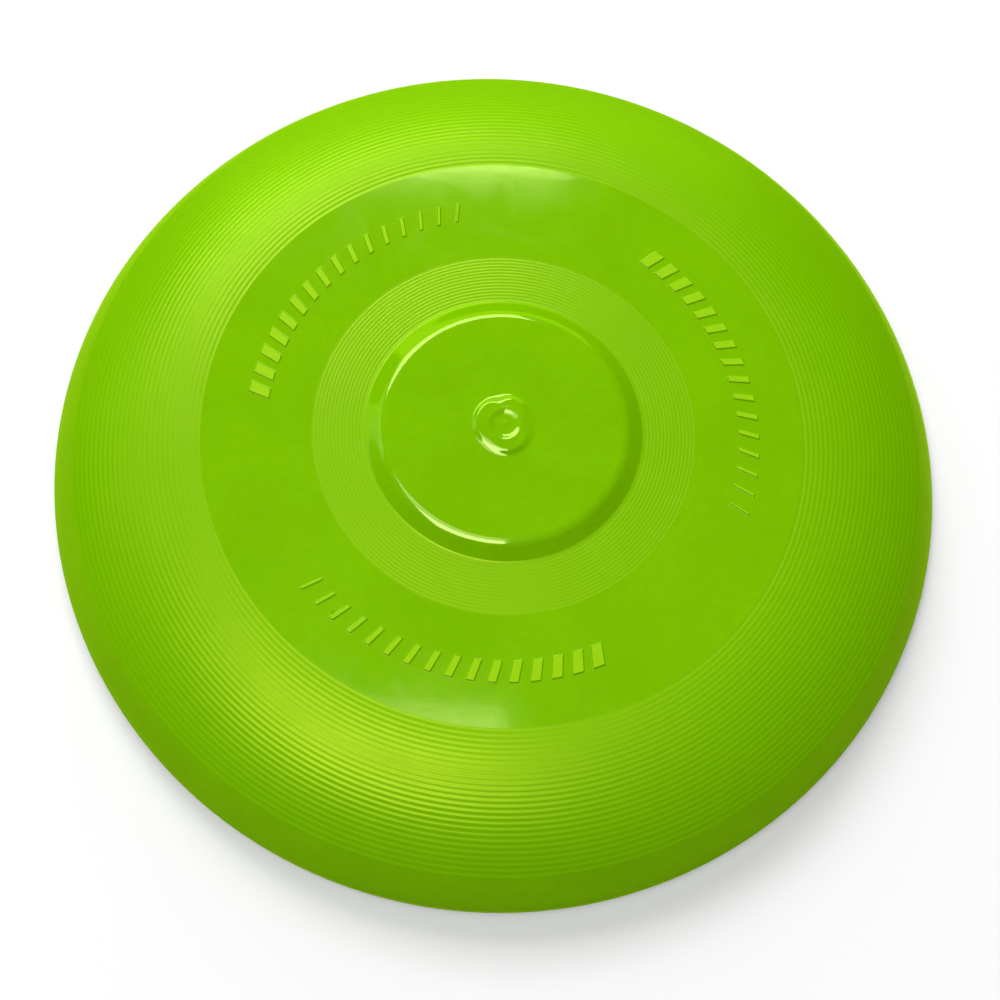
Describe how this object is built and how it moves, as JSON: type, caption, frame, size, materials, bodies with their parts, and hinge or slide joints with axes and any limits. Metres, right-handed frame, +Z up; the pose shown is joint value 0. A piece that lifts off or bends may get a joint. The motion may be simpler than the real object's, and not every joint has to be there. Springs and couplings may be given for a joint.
{
  "type": "flying disc",
  "caption": "Round throwing disc moulded in one shell: flat dome with fine concentric flight rings, raised centre, curved shoulder and a rolled rim.",
  "frame": {"origin": "centre of the disc, on the surface that its rim rests on", "axes": "+Z up along the disc's axis, out of the domed side; +X to the right and +Y away from a player who looks down on it"},
  "size_m": [0.235, 0.235, 0.0329],
  "materials": {
    "lime_plastic": "gloss"
  },
  "bodies": {
    "root": {"disc_shell": "lime_plastic"}
  },
  "joints": []
}
